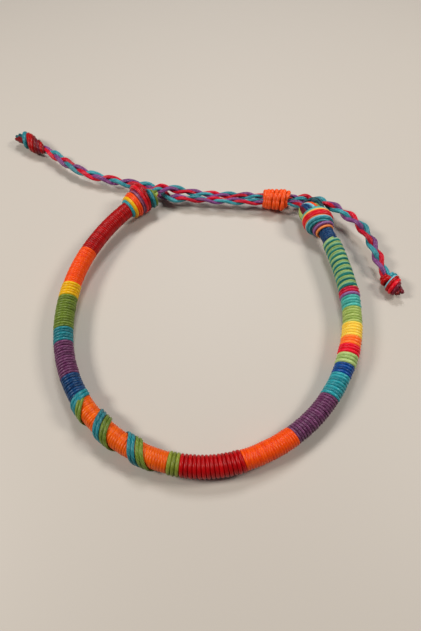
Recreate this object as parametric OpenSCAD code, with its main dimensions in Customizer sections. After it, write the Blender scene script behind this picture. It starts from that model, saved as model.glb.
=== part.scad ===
// Thread-wrapped friendship bracelet, lying open on a flat surface.
// A cord core carries a row of coloured thread wraps. Each end is tied in an overhand knot,
// from which a three-strand plait leaves. Both plaits run side by side through an orange
// sliding knot, each passes behind the far end knot, and each ends in a small tail knot.
// The origin is on the surface, below the middle of the whole bracelet.

/* [Wraps] */
// Diameter of the cord core inside the wraps
core_d = 2.8; // [2.4:0.1:3.2]
// Gap between the core and the wraps round it
core_gap = 0.08; // [0.06:0.01:0.12]
// Gap between two wraps that lie end to end
wrap_gap = 0.08; // [0.05:0.01:0.2]
// Height of the core's middle above the surface, at the front
front_h = 2.7; // [2.7:0.05:3]
// Height of the core's middle at the two end knots
knot_h = 4.35; // [4.3:0.05:4.6]

/* [Spiral threads] */
// Advance of the teal and green pair in one turn round the orange wrap
spiral_pitch = 7.9; // [7.5:0.1:8.3]
// Width of one spiral strand
spiral_w = 1.6; // [1.4:0.05:1.7]
// Thickness of one spiral strand
spiral_t = 0.55; // [0.45:0.05:0.6]
// Gap under each spiral strand and beside it
spiral_gap = 0.06; // [0.04:0.01:0.1]

/* [Plaits] */
// Diameter of one plait strand
strand_d = 0.98; // [0.9:0.02:1]
// Sideways swing of a strand from the plait's middle
plait_swing = 1.1; // [1.1:0.02:1.2]
// Rise and fall of a strand at its crossings
plait_rise = 0.72; // [0.7:0.02:0.8]

/* [End knots] */
// Radius at which the thick turn of the end knot lies
knot_r = 3.3; // [3.1:0.05:3.4]
// Length of an end knot from its wrap to its plait
knot_len = 11.4; // [10.5:0.1:12]
// Height of an end knot as a share of its width
knot_squash = 0.92; // [0.88:0.01:0.95]

/* [Sliding knot] */
// Length of the sliding knot
slide_len = 8.6; // [8:0.1:9.5]
// Width of the opening that both plaits pass through
slide_bore_w = 4.9; // [4.8:0.1:5.2]
// Height of that opening
slide_bore_h = 2.8; // [2.7:0.1:3.2]
// Thickness of the cord that makes the sliding knot
slide_cord = 1.3; // [1.1:0.1:1.4]

/* [Tail knots] */
// Size of the left tail knot against an end knot
tail_left_size = 0.55; // [0.5:0.01:0.6]
// Size of the right tail knot against an end knot
tail_right_size = 0.48; // [0.42:0.01:0.52]
// Length of the cut thread ends past the left tail knot
tip_left_len = 3.4; // [2.5:0.1:4]
// Length of the cut thread ends past the right tail knot
tip_right_len = 1.6; // [1.2:0.1:2.5]

/* [Hidden] */

$fn = 48;

// Columns of the wraps: length along the core, bend in degrees, diameter, colour
LENGTH = 0;
BEND = 1;
DIAMETER = 2;
COLOUR = 3;
WRAPS = [
    [18.0, 18, 4.5, "crimson"],
    [11.6, 14, 4.5, "orangered"],
    [3.9, 4, 4.8, "gold"],
    [9.3, 10, 4.7, "olivedrab"],
    [3.8, 5, 4.6, "darkcyan"],
    [9.0, 13, 4.5, "purple"],
    [5.7, 9, 4.4, "midnightblue"],
    [24.7, 41, 4.3, "orangered"],
    [2.5, 5, 4.8, "olivedrab"],
    [12.8, 26, 4.8, "crimson"],
    [11.7, 17, 4.4, "orangered"],
    [12.2, 19, 4.3, "purple"],
    [6.1, 8, 4.4, "darkcyan"],
    [2.8, 3, 4.5, "midnightblue"],
    [2.8, 4, 4.8, "yellowgreen"],
    [2.4, 3, 5.0, "crimson"],
    [2.3, 3, 4.8, "orangered"],
    [3.9, 5, 4.8, "gold"],
    [4.6, 6, 4.6, "olivedrab"],
    [3.3, 4, 4.7, "darkcyan"],
    [2.5, 3, 5.1, "hotpink"],
    [16.3, 10, 4.8, "yellowgreen"],
    [3.5, 2, 4.3, "midnightblue"]];
WRAP_COUNT = len(WRAPS);
// Most length between two rings of the core, and its sides
core_step = 3;
core_sides = 10;
// The wrap that carries the spiral pair
SPIRAL_WRAP = 7;

// Where the first wrap leaves the left end knot, in plan, and its direction
wrap_start = [-16.0, 17.4];
wrap_heading = -128;
// Depth of the front of the loop, about which the bracelet leans up to its knots
front_y = -54.3;
lean = atan((knot_h - front_h) / (wrap_start.y - front_y));

// Angle round the core, up from the inside of the loop, of the spiral pair at its wrap's start
spiral_start = 3;
// Rings in one turn of a spiral strand, and its sides
spiral_rings = 18;
spiral_sides = 6;
// Radius of a spiral strand's middle, its slope, and its shift from the pair's middle
spiral_r = WRAPS[SPIRAL_WRAP][DIAMETER] / 2 + spiral_gap + spiral_t / 2;
spiral_rise = atan(spiral_pitch / (2 * PI * spiral_r));
spiral_shift = (spiral_w / 2 + spiral_gap) / cos(spiral_rise);

// Columns of a plait's route: place x, y, z, and its size as a share of the free plait
SHARE = 3;
// Plait A: from the left end knot, through the sliding knot, behind the right end knot
ROUTE_A = [
    [-7.8, 25.8, 4.9, 0.90], [-6.3, 26.2, 4.9, 0.96], [-3.8, 26.7, 4.4, 0.92],
    [0.3, 26.5, 3.6, 0.82], [4.8, 25.9, 3.2, 0.76], [10.8, 25.3, 3.2, 0.76],
    [16.8, 24.9, 3.3, 0.76], [21.0, 24.6, 3.4, 0.74], [23.7, 24.3, 3.4, 0.66], [27.7, 24.0, 3.4, 0.66],
    [31.5, 23.7, 3.4, 0.66], [33.8, 23.6, 3.4, 0.88], [36.0, 23.4, 3.3, 1],
    [39.2, 22.9, 3.1, 1], [41.9, 21.6, 3.2, 1], [44.3, 19.2, 3.6, 1], [46.5, 16.4, 4.0, 1],
    [48.6, 13.8, 4.2, 1], [50.1, 11.2, 4.2, 1], [51.2, 8.4, 4.1, 1], [52.0, 5.2, 3.9, 1],
    [52.6, 1.7, 3.5, 1], [53.3, -1.5, 2.9, 1], [53.8, -3.6, 2.5, 0.85]];
// Plait B: from the right end knot, through the sliding knot, behind the left end knot
ROUTE_B = [
    [34.1, 19.6, 4.3, 0.86], [33.5, 20.4, 4.0, 0.84], [32.4, 21.1, 3.6, 0.74],
    [30.8, 21.5, 3.4, 0.66], [27.5, 21.7, 3.4, 0.66], [23.7, 22.0, 3.4, 0.66],
    [21.0, 22.0, 3.4, 0.74], [16.7, 22.3, 3.3, 0.76], [10.8, 22.7, 3.2, 0.76],
    [4.9, 23.3, 3.2, 0.76], [0.4, 23.8, 3.1, 0.82], [-2.6, 24.4, 2.6, 0.92],
    [-5.0, 25.7, 2.0, 0.96], [-7.2, 28.0, 1.7, 1],
    [-9.8, 29.9, 1.6, 1], [-12.6, 31.0, 1.9, 1], [-15.4, 31.3, 2.3, 1],
    [-18.4, 31.4, 2.5, 1], [-21.6, 32.4, 2.6, 1], [-24.7, 33.2, 2.7, 1],
    [-27.9, 34.2, 2.9, 1], [-31.3, 35.7, 3.0, 1], [-34.8, 38.0, 3.0, 1],
    [-38.6, 41.1, 2.9, 1], [-42.5, 44.8, 2.7, 1], [-45.7, 47.5, 2.6, 0.85]];
// Swings over and back that a plait's strands have done, by distance along its route
SWINGS_A = [[0, -0.97], [31, 1.03], [51, 2.62], [69, 3.66], [90, 5.1]];
SWINGS_B = [[0, -0.86], [100, 4.86]];
// Steps of the smooth curve between two route points, ring spacing and sides of a strand
route_steps = 6;
plait_step = 1.15;
plait_sides = 7;

// Columns of a knot's two turns: angle, place as a share of its length, radius as a share
// of knot_r, half width and half thickness of the bundle there
KNOT_LOBE = [
    [0, 0.68, 0.42, 1.0, 0.8],
    [60, 0.74, 0.82, 1.3, 1.1],
    [240, 0.72, 0.83, 1.5, 1.1],
    [300, 0.66, 0.42, 1.2, 0.8]];
KNOT_COLLAR = [
    [0, 0.35, 0.42, 2.0, 0.8],
    [50, 0.33, 1, 2.6, 1.2],
    [280, 0.30, 1, 2.8, 1.2],
    [335, 0.28, 0.42, 2.2, 0.8]];
// Columns of a knot's middle: place as a share of its length, and radius
KNOT_MIDDLE = [[0, 1.2], [0.12, 2.5], [0.5, 2.7], [0.75, 2.3], [1, 1.5]];
// Rings of the middle, degrees between rings of a turn, sides, and angle of the first turn
knot_middle_rings = 8;
knot_turn_step = 20;
knot_sides = 10;
knot_first_angle = -110;
// Direction in plan of each end knot where it leaves its wrap, and its bend on the way
knot_left_heading = 75;
knot_left_bend = -56;
knot_right_heading = 93;
knot_right_bend = 58;
// Gap between the wraps and the end knots that they lead into
knot_gap = 0.5;

// Middle of the sliding knot and its direction in plan
slide_at = [27.6, 22.9, 3.4];
slide_heading = -5.5;
// Steps from its first turn of cord to its last, their lean, and how deep they are bedded
slide_turns = 5;
slide_lean = 2;
slide_bed = 0.42;
slide_rings = 20;
slide_sides = 8;

// Each tail knot's end by its thread tips, its direction from there to the plait, its bend,
// its length, and the spread of its tips
tail_left_at = [-54.1, 53.5, 2.6];
tail_left_heading = -36;
tail_left_bend = 6;
tail_left_len = 9.2;
tail_left_spread = 18;
tail_right_at = [56.0, -9.7, 2.3];
tail_right_heading = 113;
tail_right_bend = -8;
tail_right_len = 5.9;
tail_right_spread = 24;
// Thickness of a tip and how deep it is rooted, for a tail knot as large as an end knot,
// and how far one is tipped up and the other down
tip_d = 2.8;
tip_root = 2.5;
tip_tilt = 4;

function unit(v) = v / norm(v);
function place(v) = [v.x, v.y, v.z];
function total(list, upto, column) =
    upto <= 0 ? 0 : list[upto - 1][column] + total(list, upto - 1, column);

// Heading of the core at the start of wrap number i
function heading_at(i) = wrap_heading + total(WRAPS, i, BEND);
// Radius of the core's curve in wrap number i
function curve_r(i) = WRAPS[i][LENGTH] / (WRAPS[i][BEND] * PI / 180);
// Plan place of the core at the start of wrap number i
function start_at(i) =
    i == 0 ? wrap_start : start_at(i - 1) + along_wrap(i - 1, WRAPS[i - 1][LENGTH]);
// Plan vector from the start of wrap number i to a length s into it
function along_wrap(i, s) =
    let (a = heading_at(i), turn = s / curve_r(i) * 180 / PI)
    curve_r(i) * [sin(a + turn) - sin(a), cos(a) - cos(a + turn)];

// Leans a flat point about the front line and lifts it to its height
function lean_up(p) =
    let (back = p.y - front_y)
    [p.x, front_y + back * cos(lean) - p.z * sin(lean),
        front_h + back * sin(lean) + p.z * cos(lean)];
module lean_up()
    translate([0, front_y, front_h])
        rotate([lean, 0, 0])
            translate([0, -front_y, 0])
                children();

// Solid swept through frames of [middle, half width vector, half height vector]
module sweep(frames, sides, closed = false) {
    count = len(frames);
    points = [for (f = frames, j = [0:sides - 1])
        f[0] + f[1] * cos(360 * j / sides) + f[2] * sin(360 * j / sides)];
    spans = closed ? count : count - 1;
    walls = [for (i = [0:spans - 1], j = [0:sides - 1])
        let (a = i * sides, b = ((i + 1) % count) * sides, k = (j + 1) % sides)
        each [[a + j, b + j, b + k], [a + j, b + k, a + k]]];
    first = [for (j = [0:sides - 1]) j];
    last = [for (j = [0:sides - 1]) count * sides - 1 - j];
    polyhedron(points, closed ? walls : concat(walls, [first, last]), convexity = 10);
}

// Part of wrap number i between two diameters, without the gap at its ends
module core_arc(i, d_out, d_in, gap) {
    r = curve_r(i);
    trim = gap / 2 / r * 180 / PI;
    translate([start_at(i).x, start_at(i).y, 0])
        rotate(heading_at(i) - 90)
            translate([-r, 0, 0])
                rotate(trim)
                    rotate_extrude(angle = WRAPS[i][BEND] - 2 * trim, $fn = 96)
                        translate([r, 0])
                            difference() {
                                circle(d = d_out);
                                circle(d = d_in);
                            }
}

// One coloured wrap of thread, a sleeve on the core
module wrap(i)
    color(WRAPS[i][COLOUR])
        lean_up()
            core_arc(i, WRAPS[i][DIAMETER], core_d + 2 * core_gap, wrap_gap);

// The bundle of cords that the wraps are wound on
module core_cord()
    color("saddlebrown")
        sweep(concat(
            [for (i = [0:WRAP_COUNT - 1])
                let (steps = ceil(WRAPS[i][LENGTH] / core_step))
                each [for (k = [0:steps - 1]) core_frame(i, WRAPS[i][LENGTH] * k / steps)]],
            [core_frame(WRAP_COUNT - 1, WRAPS[WRAP_COUNT - 1][LENGTH])]), core_sides);
function core_frame(i, s) =
    let (p = start_at(i) + along_wrap(i, s), a = heading_at(i) + s / curve_r(i) * 180 / PI)
    [lean_up([p.x, p.y, 0]), lean_turn([-sin(a), cos(a), 0]) * core_d / 2,
        lean_turn([0, 0, 1]) * core_d / 2];

// One flat strand wound round the orange wrap, shifted along it from the pair's middle
module spiral_strand(shift) {
    i = SPIRAL_WRAP;
    first = spiral_w / 2 / cos(spiral_rise) + wrap_gap;
    last = WRAPS[i][LENGTH] - first;
    count = ceil((last - first) / spiral_pitch * spiral_rings);
    frames = [for (k = [0:count])
        let (s = first + (last - first) * k / count,
            turn = spiral_start + 360 * (s - shift) / spiral_pitch,
            a = heading_at(i) + s / curve_r(i) * 180 / PI,
            p = start_at(i) + along_wrap(i, s),
            out = [-sin(a) * cos(turn), cos(a) * cos(turn), sin(turn)],
            round_core = [sin(a) * sin(turn), -cos(a) * sin(turn), cos(turn)],
            forward = [cos(a), sin(a), 0],
            travel = unit(round_core * cos(spiral_rise) + forward * sin(spiral_rise)),
            middle = [p.x, p.y, 0] + out * spiral_r,
            side = unit(cross(out, travel)))
        [lean_up(middle), lean_turn(side) * spiral_w / 2, lean_turn(out) * spiral_t / 2]];
    sweep(frames, spiral_sides);
}
// A direction in the flat loop, leaned with it
function lean_turn(v) =
    [v.x, v.y * cos(lean) - v.z * sin(lean), v.y * sin(lean) + v.z * cos(lean)];

module spiral_teal()
    color("teal") spiral_strand(-spiral_shift);
module spiral_green()
    color("olivedrab") spiral_strand(spiral_shift);

// Smooth curve through a route's points, and the distance travelled at each of its points
function curve_point(p, i, t) =
    let (a = p[max(i - 1, 0)], b = p[i], c = p[i + 1], d = p[min(i + 2, len(p) - 1)])
    (2 * b + (c - a) * t + (2 * a - 5 * b + 4 * c - d) * t * t
        + (3 * b - a - 3 * c + d) * t * t * t) / 2;
function smooth(p) = concat(
    [for (i = [0:len(p) - 2], k = [0:route_steps - 1]) curve_point(p, i, k / route_steps)],
    [p[len(p) - 1]]);
function travelled(p) = [for (i = 0, s = 0; i < len(p);
    s = s + (i + 1 < len(p) ? norm(place(p[i + 1]) - place(p[i])) : 0), i = i + 1) s];
function column(s, p, c) = [for (i = [0:len(p) - 1]) [s[i], p[i][c]]];

// One strand of a plait along a route; number 0, 1 or 2 sets its place in the plait
module plait_strand(route, swings, number) {
    path = smooth(route);
    dist = travelled(path);
    length = dist[len(dist) - 1];
    xs = column(dist, path, 0);
    ys = column(dist, path, 1);
    zs = column(dist, path, 2);
    shares = column(dist, path, SHARE);
    count = ceil(length / plait_step);
    middles = [for (k = [0:count])
        let (s = length * k / count, step = plait_step / 3,
            here = [lookup(s, xs), lookup(s, ys), lookup(s, zs)],
            ahead = [lookup(min(s + step, length), xs), lookup(min(s + step, length), ys), 0],
            behind = [lookup(max(s - step, 0), xs), lookup(max(s - step, 0), ys), 0],
            side = unit(cross([0, 0, 1], ahead - behind)),
            phase = 90 + 360 * (lookup(s, swings) - number / 3),
            share = lookup(s, shares))
        here + share * (side * plait_swing * sin(phase)
            - [0, 0, plait_rise * sin(2 * phase)])];
    frames = [for (k = [0:count])
        let (travel = middles[min(k + 1, count)] - middles[max(k - 1, 0)],
            side = unit(cross([0, 0, 1], travel)),
            up = unit(cross(travel, side)),
            r = strand_d / 2 * lookup(length * k / count, shares))
        [middles[k], side * r, up * r]];
    sweep(frames, plait_sides);
}

// Place and direction on a knot's own bent middle line
function knot_dir(heading, bend, share) =
    [cos(heading + bend * share), sin(heading + bend * share), 0];
function knot_at(at, heading, bend, length, share) =
    let (r = length / (bend * PI / 180), a = heading, b = heading + bend * share)
    at + r * [sin(b) - sin(a), cos(a) - cos(b), 0];
function knot_column(turns, c) = [for (t = turns) [t[0], t[c]]];

// An overhand knot: the bundle passes through its own two turns, the wide one first
module knot(at, heading, bend, length, size) {
    middle = [for (k = [0:knot_middle_rings])
        let (share = k / knot_middle_rings,
            dir = knot_dir(heading, bend, share),
            r = lookup(share, KNOT_MIDDLE) * size,
            side = cross([0, 0, 1], dir))
        [knot_at(at, heading, bend, length, share), side * r, [0, 0, r * knot_squash]]];
    union() {
        sweep(middle, knot_sides);
        for (turns = [KNOT_LOBE, KNOT_COLLAR])
            let (last = turns[len(turns) - 1][0], steps = ceil(last / knot_turn_step))
            sweep([for (k = [0:steps])
                knot_turn_frame(at, heading, bend, length, size, turns, last * k / steps)],
                knot_sides);
    }
}
// The bundle's section at angle t of its way round the knot
function knot_turn_frame(at, heading, bend, length, size, turns, t) =
    let (share = lookup(t, knot_column(turns, 1)),
        r = lookup(t, knot_column(turns, 2)) * size * knot_r,
        half_w = lookup(t, knot_column(turns, 3)) * size,
        half_t = lookup(t, knot_column(turns, 4)) * size,
        dir = knot_dir(heading, bend, share),
        side = cross([0, 0, 1], dir),
        angle = knot_first_angle + t,
        out = side * cos(angle) + [0, 0, knot_squash * sin(angle)])
    [knot_at(at, heading, bend, length, share) + out * r, dir * half_w, out * half_t];

// The knots start a small gap past the wraps
function past(p, heading, gap) = [p.x + gap * cos(heading), p.y + gap * sin(heading), knot_h];
module end_knot_left()
    color("darkorange")
        knot(past(wrap_start, wrap_heading + 180, knot_gap), knot_left_heading,
            knot_left_bend, knot_len, 1);
module end_knot_right()
    color("firebrick")
        knot(past(start_at(WRAP_COUNT), heading_at(WRAP_COUNT), knot_gap), knot_right_heading,
            knot_right_bend, knot_len, 1);

// Closed oval turn of cord, leaned about the upright axis
module slide_turn(x) {
    half_w = slide_bore_w / 2 + slide_cord * slide_bed;
    half_h = slide_bore_h / 2 + slide_cord * slide_bed;
    frames = [for (k = [0:slide_rings - 1])
        let (t = 360 * k / slide_rings,
            out = unit([0, cos(t) / half_w, sin(t) / half_h]))
        [[x + half_w * cos(t) * tan(slide_lean), half_w * cos(t), half_h * sin(t)],
            [slide_cord / 2, 0, 0], out * slide_cord / 2]];
    sweep(frames, slide_sides, true);
}

// The macrame knot that grips both plaits and slides along them
module sliding_knot() {
    spacing = (slide_len - slide_cord) / slide_turns;
    color("orangered")
        translate(slide_at)
            rotate(slide_heading)
                difference() {
                    union() {
                        for (k = [0:slide_turns])
                            slide_turn((k - slide_turns / 2) * spacing);
                        slide_body(slide_cord * 3 / 4, slide_len - slide_cord);
                    }
                    slide_body(0, 2 * slide_len);
                }
}
// Oval prism round the opening, grown by a wall
module slide_body(wall, length)
    rotate([90, 0, 90])
        linear_extrude(length, center = true)
            polygon([for (t = [0:18:359])
                [(slide_bore_w / 2 + wall) * cos(t), (slide_bore_h / 2 + wall) * sin(t)]]);

// Cut ends of thread that stand out of a tail knot
module tips(at, heading, size, spread, length) {
    for (side = [-1, 1])
        translate(at + tip_root * size * [cos(heading), sin(heading), 0])
            rotate([0, 90 + tip_tilt * side, heading + 180 + side * spread])
                cylinder(d = tip_d * size, h = length + tip_root * size);
}
module tail_knot_left()
    color("darkred")
        union() {
            knot(tail_left_at, tail_left_heading, tail_left_bend, tail_left_len, tail_left_size);
            tips(tail_left_at, tail_left_heading, tail_left_size, tail_left_spread,
                tip_left_len);
        }
module tail_knot_right()
    color("firebrick")
        union() {
            knot(tail_right_at, tail_right_heading, tail_right_bend, tail_right_len,
                tail_right_size);
            tips(tail_right_at, tail_right_heading, tail_right_size, tail_right_spread,
                tip_right_len);
        }

core_cord();
wrap(0);  // wrap_red_left
wrap(1);  // wrap_orange_left
wrap(2);  // wrap_yellow_left
wrap(3);  // wrap_green_left
wrap(4);  // wrap_teal_left
wrap(5);  // wrap_purple_left
wrap(6);  // wrap_blue_left
wrap(SPIRAL_WRAP);  // wrap_orange_spiral
wrap(8);  // wrap_green_band
wrap(9);  // wrap_red_front
wrap(10);  // wrap_orange_front
wrap(11);  // wrap_purple_right
wrap(12);  // wrap_teal_right
wrap(13);  // wrap_blue_right
wrap(14);  // wrap_lime_right
wrap(15);  // wrap_red_right
wrap(16);  // wrap_orange_right
wrap(17);  // wrap_yellow_right
wrap(18);  // wrap_green_right
wrap(19);  // wrap_teal_top
wrap(20);  // wrap_pink_top
wrap(21);  // wrap_stripes
wrap(22);  // wrap_blue_end
spiral_teal();
spiral_green();
end_knot_left();
end_knot_right();
sliding_knot();
color("crimson") plait_strand(ROUTE_A, SWINGS_A, 0);  // plait_a_red
color("teal") plait_strand(ROUTE_A, SWINGS_A, 1);  // plait_a_teal
color("purple") plait_strand(ROUTE_A, SWINGS_A, 2);  // plait_a_purple
color("crimson") plait_strand(ROUTE_B, SWINGS_B, 0);  // plait_b_red
color("teal") plait_strand(ROUTE_B, SWINGS_B, 1);  // plait_b_teal
color("purple") plait_strand(ROUTE_B, SWINGS_B, 2);  // plait_b_purple
tail_knot_left();
tail_knot_right();
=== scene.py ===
import math
import random

import bpy
import numpy as np
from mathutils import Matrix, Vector


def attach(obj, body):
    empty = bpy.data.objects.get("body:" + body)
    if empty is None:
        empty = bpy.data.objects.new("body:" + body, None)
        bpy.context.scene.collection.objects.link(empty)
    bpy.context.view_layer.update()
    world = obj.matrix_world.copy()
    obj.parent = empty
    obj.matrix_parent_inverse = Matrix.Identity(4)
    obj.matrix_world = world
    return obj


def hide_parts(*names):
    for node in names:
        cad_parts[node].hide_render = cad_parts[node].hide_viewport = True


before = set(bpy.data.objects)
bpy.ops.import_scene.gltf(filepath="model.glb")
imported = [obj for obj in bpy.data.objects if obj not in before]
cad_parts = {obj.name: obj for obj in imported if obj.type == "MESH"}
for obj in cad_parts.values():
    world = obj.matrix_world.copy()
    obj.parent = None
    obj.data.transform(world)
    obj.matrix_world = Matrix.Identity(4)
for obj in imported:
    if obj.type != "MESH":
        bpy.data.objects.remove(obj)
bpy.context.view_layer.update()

# Studio: a plain pale floor, two broad soft lights at the sides and a weaker one behind,
# and a camera that looks down on the open bracelet from the front. Nothing of it is part
# of the bracelet.
MM = 0.001
CAMERA_AT = (8.0, -78.3, 92.8)
CAMERA_DOWN = 56.17
FRAME_LONG_SIDE = 631
FOCAL_PIXELS = 441
SENSOR = 36.0

camera = bpy.data.objects.new("camera", bpy.data.cameras.new("camera"))
camera.data.sensor_width = SENSOR
camera.data.lens = SENSOR * FOCAL_PIXELS / FRAME_LONG_SIDE
camera.data.clip_start = 0.01
camera.location = Vector(CAMERA_AT) * MM
camera.rotation_euler = (math.radians(90 - CAMERA_DOWN), 0, 0)
bpy.context.scene.collection.objects.link(camera)
bpy.context.scene.camera = camera
bpy.context.scene.view_settings.view_transform = "Standard"


def soft_light(name, place, aim, size, power, colour):
    light = bpy.data.objects.new(name, bpy.data.lights.new(name, "AREA"))
    light.data.size = size * MM
    light.data.energy = power
    light.data.color = colour
    light.location = Vector(place) * MM
    light.rotation_euler = (Vector(aim) - Vector(place)).to_track_quat("-Z", "Y").to_euler()
    bpy.context.scene.collection.objects.link(light)


soft_light("light_left", (-300, -60, 300), (0, 0, 0), 110, 1.15, (1.0, 0.96, 0.91))
soft_light("light_right", (320, 20, 300), (0, 0, 0), 110, 0.95, (1.0, 0.96, 0.91))
soft_light("light_back", (20, 260, 380), (0, 0, 0), 120, 0.9, (0.97, 0.98, 1.0))

world = bpy.data.worlds.new("room")
world.use_nodes = True
world.node_tree.nodes["Background"].inputs["Color"].default_value = (0.80, 0.82, 0.86, 1)
world.node_tree.nodes["Background"].inputs["Strength"].default_value = 0.09
bpy.context.scene.world = world

bpy.ops.object.select_all(action="DESELECT")
bpy.ops.mesh.primitive_plane_add(size=1.6, location=(0, 0, 0))
floor = bpy.context.object
floor.name = "floor"
floor_paint = bpy.data.materials.new("floor_paint")
floor_paint.use_nodes = True
floor_shader = floor_paint.node_tree.nodes["Principled BSDF"]
floor_shader.inputs["Base Color"].default_value = (0.54, 0.49, 0.43, 1)
floor_shader.inputs["Roughness"].default_value = 0.55
floor.data.materials.append(floor_paint)

# Wraps: waxed polyester thread wound turn against turn on the core, one colour to a band.
# Each band is one flattened thread in a close helix, whose two ends are drawn in under its
# neighbours. It is wound straight and then bent along the core's own line.
WRAP_START = (-16.0, 17.4)
WRAP_HEADING = -128
CORE_D = 2.8
FRONT_Y = -54.3
FRONT_H = 2.7
KNOT_H = 4.35
LEAN = math.atan((KNOT_H - FRONT_H) / (WRAP_START[1] - FRONT_Y))
# The right-hand wraps teal_right, teal_top, orange_right and red_right are wound in aqua, mint,
# tangerine and carmine, paler copies of teal, orange and red: painted light, for the brighter
# light on that side
# Name, thread colour, length along the core, bend in degrees, diameter, width of a turn, and
# how much wider than its own turn the thread is, where the turns are pressed together
WRAPS = (
    ("red_left", "red", 18.0, 18, 4.5, 0.60, 1.5),
    ("orange_left", "orange", 11.6, 14, 4.5, 0.55, 1.45),
    ("yellow_left", "yellow", 3.9, 4, 4.8, 0.85, 1.12),
    ("green_left", "green", 9.3, 10, 4.7, 0.72, 1.08),
    ("teal_left", "teal", 3.8, 5, 4.6, 0.74, 1.05),
    ("purple_left", "purple", 9.0, 13, 4.5, 0.68, 1.0),
    ("blue_left", "blue", 5.7, 9, 4.4, 0.62, 1.15),
    ("orange_spiral", "amber", 24.7, 41, 4.3, 0.58, 1.45),
    ("green_band", "olive", 2.5, 5, 4.8, 0.80, 1.05),
    ("red_front", "scarlet", 12.8, 26, 4.8, 0.86, 1.05),
    ("orange_front", "orange", 11.7, 17, 4.4, 0.55, 1.45),
    ("purple_right", "purple", 12.2, 19, 4.3, 0.68, 1.0),
    ("teal_right", "aqua", 6.1, 8, 4.4, 0.74, 1.05),
    ("blue_right", "cobalt", 2.8, 3, 4.5, 0.66, 1.15),
    ("lime_right", "lime", 2.8, 4, 4.8, 0.85, 1.05),
    ("red_right", "carmine", 2.4, 3, 5.0, 0.78, 1.1),
    ("orange_right", "tangerine", 2.3, 3, 4.8, 0.74, 1.15),
    ("yellow_right", "maize", 3.9, 5, 4.8, 0.85, 1.12),
    ("green_right", "leaf", 4.6, 6, 4.6, 0.72, 1.08),
    ("teal_top", "mint", 3.3, 4, 4.7, 0.76, 1.05),
    ("pink_top", "pink", 2.5, 3, 5.1, 0.80, 1.05),
    ("stripes", "meadow", 16.3, 10, 4.8, 0.64, 1.05),
    ("blue_end", "blue", 3.5, 2, 4.0, 0.66, 1.2))
THREAD_SIDES = 10
TURN_RINGS = 44
# Degrees between two faces up to which their edge is shaded smooth
SMOOTH_ANGLE = 50
# How far a wound thread strays outwards and along the core, in mm
STRAY_OUT = 0.02
STRAY_ALONG = 0.035
# Slow waves that a thread's straying is the sum of, their rates in waves to a turn, and the
# height of their sum for waves of 1
STRAY_WAVES = 5
STRAY_RATES = (0.3, 2.6)
STRAY_HEIGHT = 2.2
# Depth to which a thread's ends are drawn in, as a share of its thickness
DIVE_DEPTH = 0.6
# Rings on each side over which a push along the core is eased
PUSH_EASE = 5
rng = random.Random(11)


def paint(red, green, blue):
    """A colour given as on a paint card, 0 to 255, in Blender's linear values."""
    return tuple(((c / 255 + 0.055) / 1.055) ** 2.4 for c in (red, green, blue)) + (1.0,)


def socket(tree, kind, name, in_out="INPUT", value=None):
    made = tree.interface.new_socket(name, in_out=in_out, socket_type=kind)
    if value is not None:
        made.default_value = value


def maths(tree, operation, first, second=None):
    node = tree.nodes.new("ShaderNodeMath")
    node.operation = operation
    for place, value in enumerate((first, second)):
        if isinstance(value, (int, float)):
            node.inputs[place].default_value = value
        elif value is not None:
            tree.links.new(value, node.inputs[place])
    return node.outputs[0]


def together(tree, values):
    """A vector of up to three values."""
    node = tree.nodes.new("ShaderNodeCombineXYZ")
    for place, value in enumerate(values):
        tree.links.new(value, node.inputs[place])
    return node.outputs[0]


def noise(tree, vector, scale, detail=2.0):
    node = tree.nodes.new("ShaderNodeTexNoise")
    node.inputs["Scale"].default_value = scale
    node.inputs["Detail"].default_value = detail
    tree.links.new(vector, node.inputs["Vector"])
    return node.outputs["Fac"]


# Sockets of a mix node for its two colours, and for their mixture
MIX_FIRST = 6
MIX_SECOND = 7
MIX_RESULT = 2


def mixed(tree, mask, first, second):
    """The mixture of two colours by a mask. Each is a colour or another node's output."""
    mix = tree.nodes.new("ShaderNodeMix")
    mix.data_type = "RGBA"
    tree.links.new(mask, mix.inputs[0])
    for place, value in ((MIX_FIRST, first), (MIX_SECOND, second)):
        if isinstance(value, tuple):
            mix.inputs[place].default_value = value
        else:
            tree.links.new(value, mix.inputs[place])
    return mix.outputs[MIX_RESULT]


def fitted(tree, value, old=(0.0, 1.0), new=(0.0, 1.0)):
    """A value brought from its old range to a new one, and kept inside that."""
    fit = tree.nodes.new("ShaderNodeMapRange")
    for name, bound in zip(("From Min", "From Max", "To Min", "To Max"), old + new):
        fit.inputs[name].default_value = bound
    tree.links.new(value, fit.inputs["Value"])
    return fit.outputs[0]


# Spun thread: how round its plies are, how fine its fibres are along it, round it and in all,
# how high they stand next to the plies, and how slowly the dye changes along it
PLY_ROUND = 0.6
FIBRE_ALONG = 0.6
FIBRE_ROUND = 2.2
FIBRE_SCALE = 2.6
FIBRE_RELIEF = 0.5
DYE_ALONG = 0.09


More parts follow.
